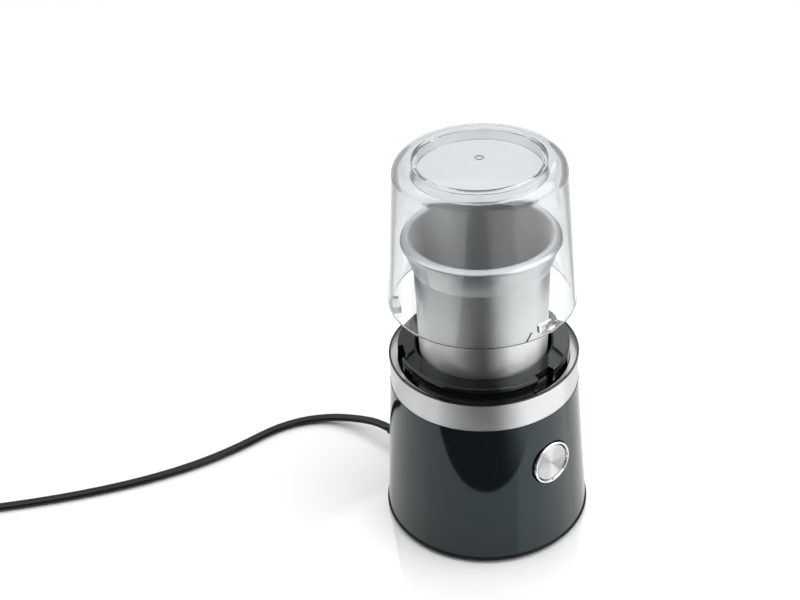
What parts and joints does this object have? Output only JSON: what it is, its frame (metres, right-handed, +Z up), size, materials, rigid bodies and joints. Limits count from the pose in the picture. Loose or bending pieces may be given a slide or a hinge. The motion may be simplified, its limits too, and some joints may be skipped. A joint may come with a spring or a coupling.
{
  "type": "electric spice grinder",
  "caption": "Electric spice grinder: tapered motor base with a push button, removable steel cup with a blade, and a clear bayonet lid lifted off.",
  "frame": {"origin": "on the table, on the grinder's axis, under the middle of its feet", "axes": "+Z up along the grinder's axis, -Y towards the front with the button, +X to the right seen from the front; the cord leaves at the back"},
  "size_m": [0.3931, 0.2741, 0.2156],
  "materials": {
    "housing_plastic": "glossy anthracite",
    "base_plastic": "glossy anthracite",
    "foot_rubber": "matt",
    "zinc_screw": "zinc plated",
    "brushed_band": "brushed round the band",
    "deck_plastic": "glossy black",
    "seal_rubber": "matt",
    "inner_plastic": "satin",
    "switch_plastic": "satin",
    "polished_chrome": "polished",
    "spun_steel": "brushed in circles",
    "spring_steel": "drawn wire",
    "lamination_iron": "oiled sheet iron",
    "copper_wire": "enamelled copper",
    "bracket_aluminium": "as cast",
    "bearing_bronze": "sintered",
    "carbon": "pressed carbon",
    "ground_steel": "ground",
    "coupling_plastic": "satin",
    "cup_steel": "brushed stainless steel",
    "blade_steel": "ground and sharpened",
    "clear_lid": "clear, polished",
    "cord_rubber": "satin",
    "plug_plastic": "satin",
    "pin_brass": "nickel plated"
  },
  "bodies": {
    "base": {"housing": "housing_plastic", "bottom_plate": "base_plastic", "rubber_feet": "foot_rubber", "bottom_screws": "zinc_screw", "steel_band": "brushed_band", "rim_trim": "deck_plastic", "deck": "deck_plastic", "deck_screws": "zinc_screw", "shaft_seal": "seal_rubber", "ring_retainer": "inner_plastic", "interlock_switch": "switch_plastic", "button_bezel": "polished_chrome", "switch_carrier": "inner_plastic", "push_switch": "switch_plastic", "button_spring": "spring_steel", "stator_core": "lamination_iron", "field_coils": "copper_wire", "upper_bracket": "bracket_aluminium", "lower_bracket": "inner_plastic", "upper_bearing": "bearing_bronze", "lower_bearing": "bearing_bronze", "brush_holders": "bearing_bronze", "carbon_brushes": "carbon", "motor_grommets": "seal_rubber", "mount_screws": "zinc_screw", "motor_bolts": "zinc_screw", "cord_relief": "cord_rubber", "cord_clamp": "inner_plastic", "clamp_screws": "zinc_screw", "inner_cord": "cord_rubber", "cord": "cord_rubber", "cord_coil": "cord_rubber", "plug_body": "plug_plastic", "plug_pins": "pin_brass", "pin_sleeves": "plug_plastic"},
    "rotor": {"motor_shaft": "ground_steel", "armature_core": "lamination_iron", "armature_windings": "copper_wire", "commutator": "bearing_bronze", "cooling_fan": "inner_plastic", "drive_coupling": "coupling_plastic"},
    "button": {"button_cap": "spun_steel", "button_plunger": "inner_plastic", "switch_actuator": "switch_plastic"},
    "lock_ring": {"interlock_ring": "deck_plastic"},
    "plunger": {"interlock_plunger": "inner_plastic"},
    "lid": {"lid": "clear_lid"},
    "cup": {"cup": "cup_steel", "cup_collar": "cup_steel", "cup_foot": "deck_plastic", "cup_bush": "bearing_bronze"},
    "blade": {"blade": "blade_steel", "blade_spindle": "ground_steel", "blade_nut": "ground_steel", "driven_coupling": "coupling_plastic"}
  },
  "joints": [
    {"name": "lid_turn", "type": "hinge", "parent": "base", "child": "lock_ring", "pos_m": [0, 0, 0.1], "axis": [0, 0, 1], "range_deg": [0, 18]},
    {"name": "lid_lift", "type": "slide", "parent": "lock_ring", "child": "lid", "axis": [0, 0, 1], "range_m": [-0.0359, 0.055]},
    {"name": "interlock_press", "type": "slide", "parent": "base", "child": "plunger", "axis": [0, 0, -1], "range_m": [0, 0.0015]},
    {"name": "cup_lift", "type": "slide", "parent": "base", "child": "cup", "axis": [0, 0, 1], "range_m": [0, 0.03]},
    {"name": "blade_spin", "type": "hinge", "parent": "cup", "child": "blade", "pos_m": [0, 0, 0.1], "axis": [0, 0, 1], "continuous": true},
    {"name": "rotor_spin", "type": "hinge", "parent": "base", "child": "rotor", "pos_m": [0, 0, 0.05], "axis": [0, 0, 1], "continuous": true},
    {"name": "button_press", "type": "slide", "parent": "base", "child": "button", "axis": [0, 0.9981, -0.0623], "range_m": [0, 0.0022], "stiffness_N_per_m": 900, "springref_m": -0.002, "deforming": ["button_spring"]}
  ],
  "couplings": [
    {"joint": "interlock_press", "follows": "lid_turn", "m_per_rad": 0.0047723},
    {"joint": "blade_spin", "follows": "rotor_spin", "ratio": 1}
  ]
}
